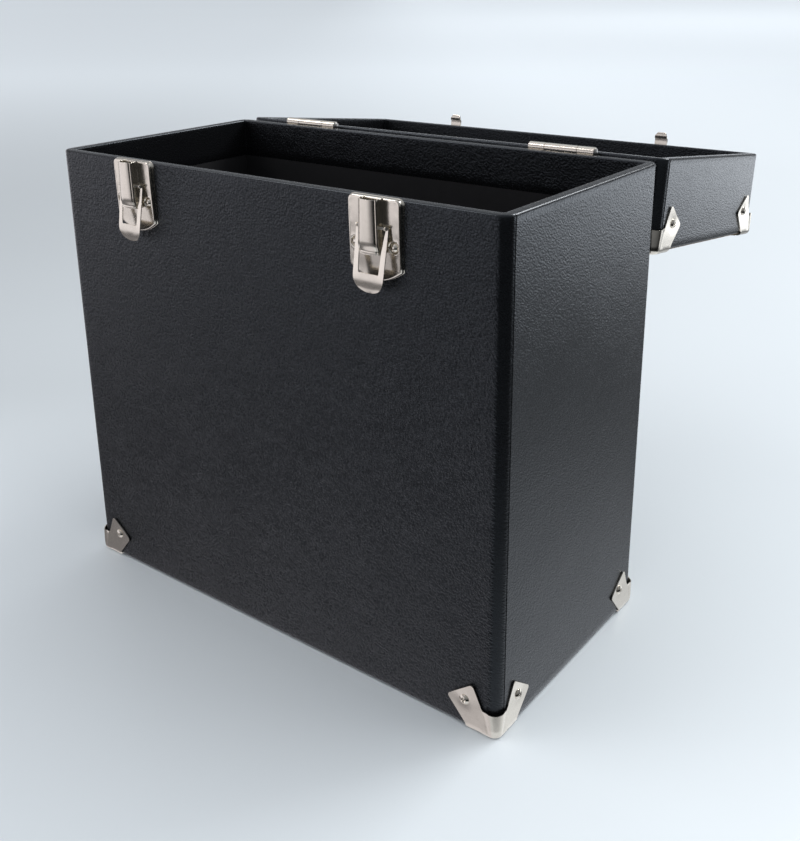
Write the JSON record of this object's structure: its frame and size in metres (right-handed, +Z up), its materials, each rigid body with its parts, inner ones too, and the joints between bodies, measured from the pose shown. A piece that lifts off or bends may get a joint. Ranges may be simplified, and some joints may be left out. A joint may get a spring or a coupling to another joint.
{
  "type": "record carrying case",
  "caption": "Upright hard case for record albums: covered board box with a hinged lid, spring latches, metal corner protectors and a swinging carrying handle.",
  "frame": {"origin": "centre of the body's footprint, on the plane the case stands on (the undersides of its four bottom corner protectors)", "axes": "+X to the right when facing the latches, +Y to the back where the lid is hinged, +Z up; the lid is stored fully open, hanging behind the body"},
  "size_m": [0.3654, 0.3824, 0.3161],
  "materials": {
    "leatherette": "black pebbled leatherette, soft sheen",
    "board": "raw pressed board",
    "lining": "smooth black lining cloth",
    "nickel_plate": "satin nickel plate",
    "nickel_fasteners": "nickel plate, polished domes",
    "plain_steel": "plain steel",
    "spring_steel": "spring wire",
    "grip_plastic": "black grained grip"
  },
  "bodies": {
    "case_body": {"body_back_panel": "board", "body_bottom_panel": "board", "body_corner_back_left": "nickel_plate", "body_corner_back_right": "nickel_plate", "body_corner_front_left": "nickel_plate", "body_corner_front_right": "nickel_plate", "body_corner_screws": "nickel_fasteners", "body_covering": "leatherette", "body_floor_lining": "lining", "body_front_panel": "board", "body_left_panel": "board", "body_lining": "lining", "body_right_panel": "board", "body_underside_screws": "nickel_fasteners", "hinge_body_screws": "nickel_fasteners", "latch_rivets": "nickel_fasteners", "left_hinge_body_leaf": "nickel_plate", "left_hinge_pin": "nickel_plate", "left_latch_base": "nickel_plate", "left_latch_housing": "nickel_plate", "left_latch_spring": "spring_steel", "right_hinge_body_leaf": "nickel_plate", "right_hinge_pin": "nickel_plate", "right_latch_base": "nickel_plate", "right_latch_housing": "nickel_plate", "right_latch_spring": "spring_steel"},
    "lid": {"handle_bracket_screws": "nickel_fasteners", "hinge_lid_screws": "nickel_fasteners", "keeper_rivets": "nickel_fasteners", "left_handle_bracket": "nickel_plate", "left_hinge_lid_leaf": "nickel_plate", "left_keeper": "nickel_plate", "lid_back_panel": "board", "lid_corner_back_left": "nickel_plate", "lid_corner_back_right": "nickel_plate", "lid_corner_front_left": "nickel_plate", "lid_corner_front_right": "nickel_plate", "lid_corner_screws": "nickel_fasteners", "lid_covering": "leatherette", "lid_front_panel": "board", "lid_left_panel": "board", "lid_lining": "lining", "lid_right_panel": "board", "lid_top_lining": "lining", "lid_top_panel": "board", "right_handle_bracket": "nickel_plate", "right_hinge_lid_leaf": "nickel_plate", "right_keeper": "nickel_plate"},
    "left_lever": {"left_latch_lever": "nickel_plate", "left_latch_pin": "plain_steel", "left_latch_catch": "plain_steel"},
    "right_lever": {"right_latch_lever": "nickel_plate", "right_latch_pin": "plain_steel", "right_latch_catch": "plain_steel"},
    "handle": {"handle_bail": "nickel_plate", "handle_grip": "grip_plastic"}
  },
  "joints": [
    {"name": "lid_hinge", "type": "hinge", "parent": "case_body", "child": "lid", "pos_m": [0, 0.0935, 0.3127], "axis": [1, 0, 0], "range_deg": [0, 187.2]},
    {"name": "left_latch_lever_hinge", "type": "hinge", "parent": "case_body", "child": "left_lever", "pos_m": [-0.1015, -0.0943, 0.2967], "axis": [-1, 0, 0], "range_deg": [0, 19], "stiffness_Nm_per_rad": 0.06, "springref_deg": -34.38, "deforming": ["left_latch_spring"]},
    {"name": "right_latch_lever_hinge", "type": "hinge", "parent": "case_body", "child": "right_lever", "pos_m": [0.0981, -0.0943, 0.2967], "axis": [-1, 0, 0], "range_deg": [0, 19], "stiffness_Nm_per_rad": 0.06, "springref_deg": -34.38, "deforming": ["right_latch_spring"]},
    {"name": "handle_swing", "type": "hinge", "parent": "lid", "child": "handle", "pos_m": [0, 0.1782, 0.23719], "axis": [1, 0, 0], "range_deg": [-86.2, 71.8]}
  ]
}
